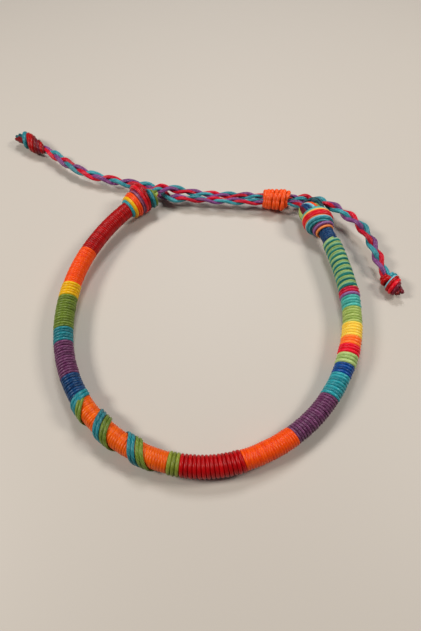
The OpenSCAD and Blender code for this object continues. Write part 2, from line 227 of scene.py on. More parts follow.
def spun_thread_group():
    """Twisted plies and fibres of a thread, by its length in mm and the way round it."""
    tree = bpy.data.node_groups.new("spun thread", "ShaderNodeTree")
    socket(tree, "NodeSocketVector", "Along and round")
    socket(tree, "NodeSocketFloat", "Lay", value=2.2)
    socket(tree, "NodeSocketFloat", "Plies", value=3.0)
    for name in ("Height", "Ridge", "Fibres", "Dye"):
        socket(tree, "NodeSocketFloat", name, "OUTPUT")
    given = tree.nodes.new("NodeGroupInput").outputs
    parts = tree.nodes.new("ShaderNodeSeparateXYZ")
    tree.links.new(given["Along and round"], parts.inputs[0])
    along, around = parts.outputs[0], parts.outputs[1]
    twist = maths(tree, "ADD", around, maths(tree, "DIVIDE", along, given["Lay"]))
    ply = maths(tree, "MULTIPLY", twist, maths(tree, "MULTIPLY", given["Plies"], math.pi))
    ridge = maths(tree, "POWER", maths(tree, "ABSOLUTE", maths(tree, "SINE", ply)), PLY_ROUND)
    angle = maths(tree, "MULTIPLY", twist, 2 * math.pi)
    lie = together(tree, (
        maths(tree, "MULTIPLY", along, FIBRE_ALONG),
        maths(tree, "MULTIPLY", maths(tree, "COSINE", angle), FIBRE_ROUND),
        maths(tree, "MULTIPLY", maths(tree, "SINE", angle), FIBRE_ROUND)))
    fibres = noise(tree, lie, FIBRE_SCALE, 3.0)
    dye = noise(tree, together(tree, (maths(tree, "MULTIPLY", along, DYE_ALONG),)), 1.0)
    height = maths(tree, "ADD", ridge, maths(tree, "MULTIPLY", fibres, FIBRE_RELIEF))
    out = tree.nodes.new("NodeGroupOutput")
    for name, value in zip(("Height", "Ridge", "Fibres", "Dye"), (height, ridge, fibres, dye)):
        tree.links.new(value, out.inputs[name])
    return tree


SPUN = spun_thread_group()
# Values of the dye, the fibres and the plies' ridges between which colours pass over
DYE_SPAN = (0.3, 0.62)
FIBRE_SPAN = (0.46, 0.92)
RIDGE_SPAN = (-1.0, 0.8)
# How much smoother and rougher than usual the wax is from place to place
WAX_SMOOTHER = 0.08
WAX_ROUGHER = 0.16
WAX_SPECULAR = 0.22


def thread_material(name, colour, shade, light, lay=3.4, relief=0.014, rough=0.31):
    """Waxed thread: its dye, with painted shade between the plies, and paler fibre streaks that
    are also a painted sheen.
    """
    material = bpy.data.materials.new(name)
    material.use_nodes = True
    tree = material.node_tree
    shader = tree.nodes["Principled BSDF"]
    lie = tree.nodes.new("ShaderNodeUVMap")
    lie.uv_map = "UVMap"
    spun = tree.nodes.new("ShaderNodeGroup")
    spun.node_tree = SPUN
    spun.inputs["Lay"].default_value = lay
    tree.links.new(lie.outputs[0], spun.inputs[0])

    dye = fitted(tree, spun.outputs["Dye"], DYE_SPAN)
    fibres = fitted(tree, spun.outputs["Fibres"], FIBRE_SPAN)
    ridge = fitted(tree, spun.outputs["Ridge"], RIDGE_SPAN)
    # Paler colour over the fibre streaks: partly the fibres' own tone, partly a painted sheen
    fibre_streaks_and_sheen = mixed(tree, fibres, mixed(tree, dye, colour, shade), light)
    # Darker colour between the plies' ridges: painted shade
    tree.links.new(mixed(tree, ridge, shade, fibre_streaks_and_sheen), shader.inputs["Base Color"])
    wax = fitted(tree, spun.outputs["Fibres"], new=(rough - WAX_SMOOTHER, rough + WAX_ROUGHER))
    tree.links.new(wax, shader.inputs["Roughness"])
    bump = tree.nodes.new("ShaderNodeBump")
    bump.inputs["Distance"].default_value = relief * MM
    tree.links.new(spun.outputs["Height"], bump.inputs["Height"])
    tree.links.new(bump.outputs[0], shader.inputs["Normal"])
    shader.inputs["Specular IOR Level"].default_value = WAX_SPECULAR
    return material


def dyed_threads(dyes, **look):
    """Waxed threads by name. A dye's row is its colour, its darker colour, which also paints the
    shade between the plies, and its paler colour of fibre streaks and painted sheen.
    """
    return {name: thread_material(name + "_thread", *(paint(*dye) for dye in row), **look)
            for name, row in dyes.items()}


# Each row: the dye, a darker colour for changes of dye along the thread and for painted shade
# between the plies, and a paler colour for fibre streaks and painted sheen
THREADS = dyed_threads({
    "red": ((184, 0, 2), (136, 0, 1), (200, 8, 12)),
    "scarlet": ((192, 0, 6), (146, 0, 3), (212, 12, 20)),
    # carmine, tangerine, aqua and mint: red, orange and teal painted paler for the brighter light
    # on the right-hand wraps
    "carmine": ((255, 6, 46), (214, 0, 26), (255, 70, 100)),
    "orange": ((242, 82, 0), (222, 54, 0), (252, 122, 24)),
    "amber": ((236, 96, 0), (204, 64, 0), (250, 142, 34)),
    "tangerine": ((255, 136, 46), (250, 100, 22), (255, 170, 98)),
    "yellow": ((234, 190, 2), (214, 152, 0), (252, 212, 52)),
    "maize": ((255, 222, 82), (240, 192, 46), (255, 234, 140)),
    "green": ((112, 136, 38), (74, 94, 20), (180, 198, 108)),
    "olive": ((138, 150, 46), (94, 104, 24), (186, 198, 100)),
    "leaf": ((186, 206, 114), (134, 160, 68), (218, 226, 152)),
    "teal": ((4, 128, 140), (0, 80, 92), (112, 208, 214)),
    "aqua": ((26, 162, 172), (8, 108, 120), (124, 220, 224)),
    "mint": ((84, 202, 188), (38, 146, 134), (156, 224, 212)),
    "purple": ((106, 44, 90), (66, 18, 54), (196, 140, 182)),
    "blue": ((2, 54, 108), (0, 26, 68), (72, 136, 182)),
    "cobalt": ((6, 74, 160), (2, 42, 104), (64, 138, 204)),
    "lime": ((192, 214, 136), (142, 170, 90), (218, 230, 172)),
    "meadow": ((168, 214, 158), (112, 166, 112), (208, 232, 194)),
    "fern": ((38, 142, 126), (12, 92, 82), (104, 190, 170)),
    "pink": ((216, 10, 60), (170, 0, 34), (238, 84, 124)),
    "lilac": ((152, 98, 160), (104, 58, 114), (206, 170, 212)),
})


def leaned(x, y):
    """A plan point of the core, leaned about the front line, in metres."""
    back = y - FRONT_Y
    return Vector((x, FRONT_Y + back * math.cos(LEAN), FRONT_H + back * math.sin(LEAN))) * MM


def core_path():
    """The core's middle line, one arc to a wrap in one smooth curve, and where it ends."""
    curve = bpy.data.curves.new("core_path", "CURVE")
    curve.dimensions = "3D"
    curve.twist_mode = "Z_UP"
    curve.resolution_u = 32
    line = curve.splines.new("BEZIER")
    line.bezier_points.add(len(WRAPS))
    x, y = WRAP_START
    heading = math.radians(WRAP_HEADING)
    reach_in = reach_out = 0.0
    for number in range(len(WRAPS) + 1):
        if number < len(WRAPS):
            length, bend = WRAPS[number][2], math.radians(WRAPS[number][3])
            radius = length / bend
            # Length of a curve's handle with which it follows an arc
            reach_out = 4 / 3 * math.tan(bend / 4) * radius
        point = line.bezier_points[number]
        ahead = (math.cos(heading), math.sin(heading))
        point.co = leaned(x, y)
        point.handle_left = leaned(x - ahead[0] * reach_in, y - ahead[1] * reach_in)
        point.handle_right = leaned(x + ahead[0] * reach_out, y + ahead[1] * reach_out)
        if number < len(WRAPS):
            x += radius * (math.sin(heading + bend) - math.sin(heading))
            y += radius * (math.cos(heading) - math.cos(heading + bend))
            heading += bend
            reach_in = reach_out
    path = bpy.data.objects.new("core_path", curve)
    bpy.context.scene.collection.objects.link(path)
    return path, (x, y, heading)


def only(piece):
    bpy.ops.object.select_all(action="DESELECT")
    piece.select_set(True)
    bpy.context.view_layer.objects.active = piece


def stray(count, size):
    """A slow straying of about that size in mm, one value to each ring."""
    turns = np.arange(count) / TURN_RINGS
    waves = [(rng.uniform(*STRAY_RATES), rng.uniform(0, 2 * math.pi))
             for wave in range(STRAY_WAVES)]
    total = sum(np.sin(2 * math.pi * rate * turns + start) for rate, start in waves)
    return total * size / STRAY_HEIGHT


def map_thread(mesh, rings, sides, lengths):
    """UV map of a swept thread: along it in mm, and once round it from 0 to 1."""
    corners = np.zeros(len(mesh.loops), dtype=np.int32)
    mesh.loops.foreach_get("vertex_index", corners)
    corners = corners.reshape(-1, 4)
    side = corners % sides
    crosses = (side == 0).any(axis=1) & (side == sides - 1).any(axis=1)
    side = np.where(crosses[:, None] & (side == 0), sides, side)
    along = np.asarray(lengths)[corners // sides]
    layer = mesh.uv_layers.get("UVMap") or mesh.uv_layers.new(name="UVMap")
    layer.data.foreach_set("uv", np.stack([along, side / sides], axis=-1).ravel())


def close_ends(piece):
    only(piece)
    bpy.ops.object.mode_set(mode="EDIT")
    bpy.ops.mesh.select_mode(type="EDGE")
    bpy.ops.mesh.select_all(action="DESELECT")
    bpy.ops.mesh.select_non_manifold()
    bpy.ops.mesh.fill_holes(sides=0)
    bpy.ops.mesh.select_mode(type="VERT")
    bpy.ops.object.mode_set(mode="OBJECT")


def wind(name, first, last, pitch, width, height, radius, angle, dip=10, sway=1.0, pushed=()):
    """A thread wound from one place along the core to another, then bent along it.

    It goes round once in each pitch, from an angle that is measured from the inside of the
    loop upwards. Dip is the degrees over which each end sinks towards the core, and sway is
    how much the thread strays, as a share of what is usual. Pushed has rows of an angle and
    how far in mm the turns lie along the core there from an even winding."""
    turns = (last - first) / pitch
    rings = max(2, round(turns * TURN_RINGS)) + 1
    bpy.ops.object.select_all(action="DESELECT")
    bpy.ops.mesh.primitive_circle_add(
        vertices=THREAD_SIDES, radius=MM, fill_type="NOTHING",
        location=(first * MM, radius * math.cos(angle) * MM, radius * math.sin(angle) * MM),
        rotation=(angle, 0, 0))
    piece = bpy.context.object
    piece.name = name
    piece.scale = (width / 2, height / 2, 1)
    bpy.ops.object.transform_apply(location=True, rotation=True, scale=True)
    screw = piece.modifiers.new("winding", "SCREW")
    screw.axis = "X"
    screw.angle = 2 * math.pi * turns
    screw.screw_offset = (last - first) * MM
    screw.steps = screw.render_steps = rings - 1
    screw.use_merge_vertices = False
    bpy.ops.object.modifier_apply(modifier="winding")

    mesh = piece.data
    places = np.zeros(len(mesh.vertices) * 3)
    mesh.vertices.foreach_get("co", places)
    places = places.reshape(-1, THREAD_SIDES, 3)
    rings = len(places)
    turned = angle + 2 * math.pi * turns * np.arange(rings) / (rings - 1)
    out = np.stack([np.zeros(rings), np.cos(turned), np.sin(turned)], axis=-1)
    from_end = np.degrees(np.minimum(turned - turned[0], turned[-1] - turned)) / dip
    dive = 1 - np.clip(from_end, 0, 1)
    dive = dive * dive * (3 - 2 * dive) * height * DIVE_DEPTH
    rise = stray(rings, STRAY_OUT * sway) - dive
    drift = stray(rings, STRAY_ALONG * sway) * np.clip(from_end, 0, 1)
    places += (out * rise[:, None] * MM)[:, None, :]
    if pushed:
        push = np.pad(np.interp(np.degrees(turned), *zip(*pushed)), PUSH_EASE, "edge")
        spread = 2 * PUSH_EASE + 1
        drift += np.convolve(push, np.ones(spread) / spread, "valid")
    places[:, :, 0] += drift[:, None] * MM
    mesh.vertices.foreach_set("co", places.ravel())
    step = math.hypot(2 * math.pi * radius * turns, last - first) / (rings - 1)
    map_thread(mesh, rings, THREAD_SIDES, np.arange(rings) * step)

    bend = piece.modifiers.new("bend", "CURVE")
    bend.object = PATH
    bend.deform_axis = "POS_X"
    bpy.ops.object.modifier_apply(modifier="bend")
    close_ends(piece)
    bpy.ops.object.shade_smooth_by_angle(angle=math.radians(SMOOTH_ANGLE))
    return piece


PATH, CORE_END = core_path()


def finish(piece, slot, *nodes):
    """Gives a piece its place in the frame: hides the nodes it stands for and gives it its body.
    The slot is not used.
    """
    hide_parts(*nodes)
    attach(piece, "root")


def joined(name, parts):
    only(parts[0])
    for part in parts:
        part.select_set(True)
    bpy.ops.object.join()
    parts[0].name = name
    return parts[0]


# Colour and width of each thread that the striped wrap is wound with, side by side, how much
# wider each is than its place, and how much more than usual it strays
STRIPE_THREADS = (("meadow", 0.54), ("lime", 0.46), ("fern", 0.42), ("aqua", 0.24))
STRIPE_WIDER = 1.06
STRIPE_SWAY = 1.8
# How far a wrap's thread stays clear of the core in all
WRAP_CLEAR = 0.04
# How far the first and the last wrap run on into the end knots
WRAP_INTO_KNOT = 0.8
# Every wrap begins and ends underneath, after a whole number of turns
UNDERNEATH = -math.pi / 2
begin = 0.0
wrap_begins = {}
for name, colour, length, bend, diameter, width, packing in WRAPS:
    height = (diameter - CORE_D) / 2 - WRAP_CLEAR
    radius = (diameter - height) / 2
    wrap_begins[name] = begin
    first = begin - (WRAP_INTO_KNOT if name == "red_left" else 0)
    last = begin + length + (WRAP_INTO_KNOT if name == "blue_end" else 0)
    wound_width = sum(row[1] for row in STRIPE_THREADS) if name == "stripes" else width
    pitch = (last - first) / round((last - first) / wound_width)
    if name == "stripes":
        parts = []
        beside = 0.0
        for colour, width in STRIPE_THREADS:
            start = UNDERNEATH - 2 * math.pi * (beside + width / 2) / pitch
            parts.append(wind(name, first, last, pitch, width * STRIPE_WIDER, height, radius,
                              start, sway=STRIPE_SWAY))
            parts[-1].data.materials.append(THREADS[colour])
            beside += width
        piece = joined("stripes_winding", parts)
    elif name == "pink_top":
        change = first + pitch
        parts = [wind(name, first, change, pitch, pitch * packing, height, radius, UNDERNEATH),
                 wind(name, change, last, pitch, pitch * packing, height, radius, UNDERNEATH)]
        parts[0].data.materials.append(THREADS["lilac"])
        parts[1].data.materials.append(THREADS[colour])
        piece = joined(name + "_winding", parts)
    else:
        piece = wind(name + "_winding", first, last, pitch, pitch * packing, height, radius,
                     UNDERNEATH)
        piece.data.materials.append(THREADS[colour])
    slot = "striped" if name == "stripes" else name.split("_")[0]
    finish(piece, slot + "_thread", "wrap_" + name)
    begin += length

# Spiral pair: a teal and a green strand, each of two waxed threads laid side by side, wound in
# an open spiral over the left orange wrap. Green starts under teal, and the ends of both are
# drawn in towards the core.
SPIRAL_PITCH = 7.9
SPIRAL_WIDTH = 1.6
SPIRAL_HEIGHT = 0.55
SPIRAL_GAP = 0.06
SPIRAL_START = 3
# Diameter and length of the wrap that the pair is wound over, and how far it sinks into it
SPIRAL_WRAP = 4.3
SPIRAL_LENGTH = 24.7
SPIRAL_SUNK = 0.03
# Room left between the pair and the next wraps
WRAP_GAP = 0.08
# How much wider a thread of the pair is than its place, and how much it strays
SPIRAL_WIDER = 1.04
SPIRAL_SWAY = 0.5
# Where each strand starts past its first place: teal on the inner side, green under teal
SPIRAL_FROM = {"teal": -1.67, "green": 1.19}
# Angle from the inside, and how far the turns lie along the core from an even spiral there:
# at each strand's start, and then for both
SPIRAL_START_PUSHED = {"teal": (16, 0.8), "green": (58, -2.1)}
SPIRAL_PUSHED = ((115, -0.5), (180, -1.0), (380, -0.7), (540, -1.0), (740, 0))
# How far short of the next wrap each strand ends, underneath
SPIRAL_SHORT = {"teal": 1.5, "green": 0.0}
# Degrees of the winding over which each strand's ends are drawn in
SPIRAL_DIP = {"teal": 14, "green": 48}
SPIRAL_R = SPIRAL_WRAP / 2 + SPIRAL_HEIGHT / 2 - SPIRAL_SUNK
SPIRAL_RISE = math.atan(SPIRAL_PITCH / (2 * math.pi * SPIRAL_R))
for colour, side in (("teal", -1), ("green", 1)):
    half = SPIRAL_WIDTH / 2 / math.cos(SPIRAL_RISE)
    shift = side * (SPIRAL_WIDTH / 2 + SPIRAL_GAP) / math.cos(SPIRAL_RISE)
    parts = []
    for lane in (-0.5, 0.5):
        first = half + WRAP_GAP + lane * half + SPIRAL_FROM[colour]
        last = SPIRAL_LENGTH - half - WRAP_GAP + lane * half - SPIRAL_SHORT[colour]
        turn = math.radians(SPIRAL_START + 360 * (first - lane * half - shift) / SPIRAL_PITCH)
        start = wrap_begins["orange_spiral"]
        parts.append(wind("strand", start + first, start + last, SPIRAL_PITCH,
                          half * SPIRAL_WIDER, SPIRAL_HEIGHT, SPIRAL_R, turn,
                          dip=SPIRAL_DIP[colour], sway=SPIRAL_SWAY,
                          pushed=(SPIRAL_START_PUSHED[colour],) + SPIRAL_PUSHED))
        parts[-1].data.materials.append(THREADS[colour])
    piece = joined(colour + "_spiral", parts)
    finish(piece, colour + "_thread", "spiral_" + colour)
bpy.data.objects.remove(PATH)

# Plaits: each end of the bracelet runs out in a flat plait of three strands, red, teal and
# purple, each of four waxed threads that turn over slowly. Both plaits run side by side
# through the sliding knot, and each of them behind the other's end knot.
STRAND_W = 1.42
STRAND_H = 1.12
STRAND_THREADS = 4
STRAND_THREAD = 0.71
STRAND_LAY = 22.0
PLAIT_SWING = 0.84
PLAIT_RISE = 0.57
# Routes: place in mm, and the plait's size there as a share of the free plait
ROUTE_A = (
    (-7.8, 25.8, 4.9, 0.90), (-6.3, 26.2, 4.9, 0.96), (-3.8, 26.7, 4.4, 0.92),
    (0.3, 26.5, 3.6, 0.82), (4.8, 25.9, 3.2, 0.76), (10.8, 25.3, 3.2, 0.76),
    (16.8, 24.9, 3.3, 0.76), (21.0, 24.6, 3.4, 0.74), (23.7, 24.3, 3.4, 0.66),
    (27.7, 24.0, 3.4, 0.66), (31.5, 23.7, 3.4, 0.66), (33.8, 23.6, 3.4, 0.88),
    (36.0, 23.4, 3.3, 1), (39.2, 22.9, 3.1, 1), (41.9, 21.6, 3.2, 1), (44.3, 19.2, 3.6, 1),
    (46.5, 16.4, 4.0, 1), (48.6, 13.8, 4.2, 1), (50.1, 11.2, 4.2, 1), (51.2, 8.4, 4.1, 1),
    (52.0, 5.2, 3.9, 1), (52.6, 1.7, 3.5, 1), (53.3, -1.5, 2.9, 1), (53.8, -3.6, 2.5, 0.85))
ROUTE_B = (
    (34.1, 19.6, 4.3, 0.86), (33.5, 20.4, 4.0, 0.84), (32.4, 21.1, 3.6, 0.74),
    (30.8, 21.5, 3.4, 0.66), (27.5, 21.7, 3.4, 0.66), (23.7, 22.0, 3.4, 0.66),
    (21.0, 22.0, 3.4, 0.74), (16.7, 22.3, 3.3, 0.76), (10.8, 22.7, 3.2, 0.76),
    (4.9, 23.3, 3.2, 0.76), (0.4, 23.8, 3.1, 0.82), (-2.6, 24.4, 2.6, 0.92),
    (-5.0, 25.7, 2.0, 0.96), (-7.2, 28.0, 1.7, 1), (-9.8, 29.9, 1.6, 1), (-12.6, 31.0, 1.9, 1),
    (-15.4, 31.3, 2.3, 1), (-18.4, 31.4, 2.5, 1), (-21.6, 32.4, 2.6, 1), (-24.7, 33.2, 2.7, 1),
    (-27.9, 34.2, 2.9, 1), (-31.3, 35.7, 3.0, 1), (-34.8, 38.0, 3.0, 1), (-38.6, 41.1, 2.9, 1),
    (-42.5, 44.8, 2.7, 1), (-45.7, 47.5, 2.6, 0.85))
# Points inside the knots that each plait's strands run on to, before and after its route
ROOTS_A = ((-10.6, 23.4, 4.5), (55.0, -7.6, 2.3))
ROOTS_B = ((35.8, 17.2, 4.4), (-48.2, 49.4, 2.6))
# Swings over and back that a plait's strands have done, by distance along its route
SWINGS_A = ((0, -0.97), (31, 1.03), (51, 2.62), (69, 3.66), (90, 5.1))
SWINGS_B = ((0, -0.86), (100, 4.86))
ROUTE_STEPS = 6
STRAND_STEP = 0.3
CURVE_SIDES = 14
# Points of a strand's stretch inside a knot, and how much thinner it gets there
ROOT_POINTS = 9
ROOT_THINNER = 0.4
THREADS.update(dyed_threads({
    "rose": ((222, 0, 42), (164, 0, 20), (244, 60, 96)),
    "lagoon": ((44, 158, 170), (14, 104, 118), (142, 214, 218)),
    "violet": ((134, 64, 134), (88, 32, 88), (202, 152, 200)),
}, lay=9.0, relief=0.02, rough=0.3))


def smooth_route(route):
    """Smooth curve through the points of a route, of any number of columns."""
    p = np.array(route, dtype=float)
    share = np.arange(ROUTE_STEPS)[:, None] / ROUTE_STEPS
    curve = []
    for i in range(len(p) - 1):
        a, b, c, d = p[max(i - 1, 0)], p[i], p[i + 1], p[min(i + 2, len(p) - 1)]
        curve.append((2 * b + (c - a) * share + (2 * a - 5 * b + 4 * c - d) * share ** 2
                      + (3 * b - a - 3 * c + d) * share ** 3) / 2)
    return np.vstack(curve + [p[-1:]])


def distances(points):
    steps = np.linalg.norm(np.diff(points[:, :3], axis=0), axis=1)
    return np.concatenate([[0], np.cumsum(steps)])


def unit(vectors):
    return vectors / np.linalg.norm(vectors, axis=-1, keepdims=True)


def strand_line(route, swings, number):
    """Middle line of a plait's strand, and its size as a share of the free plait."""
    path = smooth_route(route)
    run = distances(path)
    s = np.linspace(0, run[-1], math.ceil(run[-1] / STRAND_STEP) + 1)
    x, y, z, share = (np.interp(s, run, path[:, c]) for c in range(4))
    ahead = np.stack([np.gradient(x), np.gradient(y), np.zeros_like(x)], axis=-1)
    side = unit(np.cross([0, 0, 1], ahead))
    phase = math.pi / 2 + 2 * math.pi * (np.interp(s, *np.transpose(swings)) - number / 3)
    middle = np.stack([x, y, z], axis=-1)
    middle += (share * PLAIT_SWING * np.sin(phase))[:, None] * side
    middle[:, 2] -= share * PLAIT_RISE * np.sin(2 * phase)
    return middle, share


def sections(line):
    """Two crossing unit vectors across a line, the first of them level."""
    travel = unit(np.gradient(line, axis=0))
    level = unit(np.cross([0, 0, 1], travel))
    return level, np.cross(travel, level)


def thread_along(name, lines, thickness, material, sizes=None):
    """A round thread drawn along each line of points in mm, made a closed mesh."""
    curve = bpy.data.curves.new(name, "CURVE")
    curve.dimensions = "3D"
    curve.bevel_depth = thickness / 2 * MM
    curve.bevel_resolution = CURVE_SIDES // 2 - 2
    sizes = sizes or [np.ones(len(line)) for line in lines]
    for line, size in zip(lines, sizes):
        spline = curve.splines.new("POLY")
        spline.points.add(len(line) - 1)
        ones = np.ones((len(line), 1))
        spline.points.foreach_set("co", np.hstack([line * MM, ones]).ravel())
        spline.points.foreach_set("radius", size)
    piece = bpy.data.objects.new(name, curve)
    bpy.context.scene.collection.objects.link(piece)
    only(piece)
    bpy.ops.object.convert(target="MESH")
    piece = bpy.context.object
    lengths = np.concatenate([distances(line) for line in lines])
    map_thread(piece.data, len(lengths), CURVE_SIDES, lengths)
    close_ends(piece)
    bpy.ops.object.shade_smooth_by_angle(angle=math.radians(SMOOTH_ANGLE))
    piece.data.materials.append(material)
    return piece


def bundle(line, share):
    """Lines of the threads of a strand: a flat bundle that turns over very slowly."""
    level, up = sections(line)
    turn = 2 * math.pi * distances(line) / STRAND_LAY
    lines = []
    for number in range(STRAND_THREADS):
        angle = (turn + 2 * math.pi / STRAND_THREADS * number)[:, None]
        offset = (level * np.cos(angle) * (STRAND_W - STRAND_THREAD)
                  + up * np.sin(angle) * (STRAND_H - STRAND_THREAD)) / 2
        lines.append(line + offset * share[:, None])
    return lines


def led_on(line, share, root):
    """A strand's line and sizes, led on from its last point to a point inside a knot."""
    root = np.array(root)
    reach = np.linalg.norm(root - line[-1])
    bend = line[-1] + unit(line[-1] - line[-2]) * reach / 2
    t = np.linspace(0, 1, ROOT_POINTS)[1:, None]
    more = line[-1] * (1 - t) ** 2 + 2 * bend * t * (1 - t) + root * t ** 2
    thinner = share[-1] * (1 - ROOT_THINNER * t[:, 0])
    return np.vstack([line, more]), np.concatenate([share, thinner])


for plait, route, swings, roots in (("plait_a", ROUTE_A, SWINGS_A, ROOTS_A),
                                    ("plait_b", ROUTE_B, SWINGS_B, ROOTS_B)):
    for number, (colour, shade) in enumerate(
            (("red", "rose"), ("teal", "lagoon"), ("purple", "violet"))):
        line, share = strand_line(route, swings, number)
        drawn, sizes = led_on(line, share, roots[1])
        drawn, sizes = led_on(drawn[::-1], sizes[::-1], roots[0])
        lines = bundle(drawn, sizes)
        name = plait + "_" + colour
        piece = thread_along(name + "_strand", lines, STRAND_THREAD, THREADS[shade],
                             [sizes] * len(lines))
        finish(piece, colour + "_thread", name)

# Sliding knot: a waxed orange cord tied in a row of square knots round both plaits. Its turns
# lie side by side and lean to the right across the top, where they are drawn in twice.
SLIDE_AT = (27.6, 22.9, 3.4)
SLIDE_HEADING = math.radians(-5.5)
SLIDE_CORD = 1.35
# Turns of the sliding knot: place along it near the front and near the back of the top,
# size, and how far it lies to the back
SLIDE_TURNS = (
    (-3.5, -3.45, 0.83, 0.1), (-2.85, -2.5, 0.92, 0.03), (-2.15, -1.5, 0.96, 0),
    (-0.85, -0.2, 0.98, 0.05), (0.15, 1.1, 1.0, 0.03), (1.55, 2.05, 1.04, -0.05),
    (2.5, 3.35, 0.8, 0.4))
SLIDE_HALF_W = 2.85
SLIDE_HALF_H = 2.1
# Degrees between two points of a turn
SLIDE_STEP = 5
# Places across the knot, as a share of its half width, where the turns are drawn in, how far
# that reaches to each side, how deep it is in mm, how much thinner the cord is there on top,
# and how soon that sets in on the way up
SLIDE_PINCHES = (-0.78, 0.30)
PINCH_REACH = 0.2
PINCH_DEPTH = 0.3
PINCH_THINNER = 0.22
PINCH_EASE = 4
# Share of the half width at which a turn's lean begins, and over which it goes on
LEAN_FROM = -0.75
LEAN_OVER = 1.1
THREADS["cord"] = thread_material(
    "orange_cord", *(paint(*dye) for dye in ((250, 92, 14), (216, 50, 4), (255, 140, 70))))
# Maroon, a dark red; the cord's ends inside the sliding knot are in it as painted shade between
# the turns
THREADS.update(dyed_threads({
    "maroon": ((128, 6, 10), (82, 0, 4), (168, 52, 54)),
}))


def slide_turn(front, rear, size, back):
    """One turn of the sliding knot, a closed oval round both plaits, and its sizes."""
    t = np.radians(np.arange(-90, 270 + 1, SLIDE_STEP))
    across = np.cos(t)
    pinch = sum(np.exp(-((across - at) / PINCH_REACH) ** 2) for at in SLIDE_PINCHES)
    share = np.clip((across - LEAN_FROM) / LEAN_OVER, 0, 1)
    x = front + (rear - front) * share * share * (3 - 2 * share)
    y = SLIDE_HALF_W * across * size + back
    z = (SLIDE_HALF_H - PINCH_DEPTH * pinch) * np.sin(t) * size
    c, s = math.cos(SLIDE_HEADING), math.sin(SLIDE_HEADING)
    line = np.stack([x * c - y * s, x * s + y * c, z], axis=-1) + SLIDE_AT
    on_top = np.clip(np.sin(t) * PINCH_EASE, 0, 1)
    return line, 1 - PINCH_THINNER * pinch * on_top


slide_lines, slide_sizes = zip(*(slide_turn(*row) for row in SLIDE_TURNS))
outer = thread_along("outer_cord", slide_lines, SLIDE_CORD, THREADS["cord"], slide_sizes)
# The cord's own ends run straight through the knot, above and beside the plaits, in dark
# maroon: painted shade where they show in the gaps between the turns. Places from its one end
# to the other, and how far aside of its middle and above it each end lies
INNER_PLACES = np.linspace(-3.3, 2.4, 9)
INNER_CORDS = ((-1.7, 0.2), (-0.6, 0.75), (0.6, 0.75), (1.7, 0.2))
ahead = np.array([math.cos(SLIDE_HEADING), math.sin(SLIDE_HEADING), 0])
level = np.array([-ahead[1], ahead[0], 0])
straight = [np.array(SLIDE_AT) + np.outer(INNER_PLACES, ahead) + level * aside
            + np.array([0, 0, lift]) for aside, lift in INNER_CORDS]
inner = thread_along("inner_cord", straight, SLIDE_CORD, THREADS["maroon"])
piece = joined("sliding_knot_cord", [outer, inner])
finish(piece, "orange_thread", "sliding_knot")

# End knots: an overhand knot in the whole bundle of threads at each end of the wraps. A wide
# turn lies next to the wrap and a narrow one behind it, both round the bundle's middle, so
# the threads show side by side, every colour in its own place.
KNOT_LENGTH = 11.4
KNOT_GAP = 0.5
KNOT_SQUASH = 0.92
# A turn's threads come up from the bundle's middle and go back down: angle, share of radius
KNOT_TURN = ((0, 0.5), (25, 1), (335, 1), (358, 0.5))
KNOT_FIRST = math.radians(-110)
# Degrees between two points of a turn
TURN_STEP = 6.7
# A thread in a knot is laid this much wider than its place, starts within so many degrees of
# the turn's own start, and leans along the knot by a share of its length between these
LAID_WIDER = 1.06
START_STRAY = 8
LEAN_STRAY = (-0.01, 0.03)
# A bundle's threads get thinner towards its end: share of its length, thread's own size. Its
# middle is filled with dark thread, painted shade for the gaps between the threads, up to a
# share of its radius
BUNDLE_POINTS = 34
TAPER = ((0.6, 1), (1, 0.6))
FILLING_POINTS = 20
FILLED = 0.72
# Places along a bundle as a share of its axis, and its radius there: the middle of the whole
# knot, its foot at the wrap, the back of its widest turn, the lobe behind it, and the fan and
# the exit towards the plait
MIDDLE_RADII = ((-0.06, 1.4), (0, 1.7), (0.12, 1.9), (0.5, 2.3), (0.75, 2.2), (0.95, 1.2))
FOOT_RADII = ((-0.1, 1.7), (0.1, 2.4), (0.3, 3.0), (0.5, 2.4), (0.6, 1.2))
BACK_RADII = ((0.34, 3.2), (0.46, 3.9), (0.56, 3.5), (0.64, 2.4), (0.7, 1.0))
LOBE_RADII = ((0, 1.5), (0.3, 2.8), (0.65, 2.9), (1, 1.4))
FAN_RADII = ((0, 3.2), (0.4, 3.4), (0.75, 2.7), (1, 1.3))
EXIT_RADII = ((0, 2.2), (0.4, 2.3), (0.8, 1.6), (1, 1.0))
THREADS.update(dyed_threads({
    "cherry": ((238, 2, 32), (188, 0, 16), (250, 66, 88)),
    "sky": ((132, 202, 216), (78, 156, 174), (198, 232, 236)),
    "sea": ((56, 164, 174), (20, 110, 122), (138, 212, 214)),
    "deep": ((14, 84, 94), (4, 52, 60), (64, 134, 138)),
    # night: deep teal darkened as painted shade, for the lobe behind the right knot
    "night": ((4, 40, 54), (0, 22, 34), (24, 76, 90)),
    "mauve": ((162, 90, 122), (112, 48, 80), (206, 158, 182)),
    "plum": ((128, 34, 80), (82, 12, 46), (176, 96, 140)),
    "sun": ((255, 200, 96), (240, 160, 56), (255, 226, 158)),
    "peach": ((248, 150, 78), (220, 104, 40), (255, 192, 138)),
    "wine": ((116, 16, 40), (70, 4, 22), (166, 72, 94)),
    "dark": ((46, 12, 24), (24, 6, 12), (84, 34, 46)),
}))


def knot_axis(knot, share):
    """Place and direction on a knot's own bent middle line."""
    at, heading, bend, length, size = knot
    radius = length / bend
    share = np.asarray(share, dtype=float)
    a, b = heading, heading + bend * share
    flat = np.zeros_like(share)
    place = np.stack([at[0] + radius * (np.sin(b) - math.sin(a)),
                      at[1] + radius * (math.cos(a) - np.cos(b)), at[2] + flat], axis=-1)
    return place, np.stack([np.cos(b), np.sin(b), flat], axis=-1)


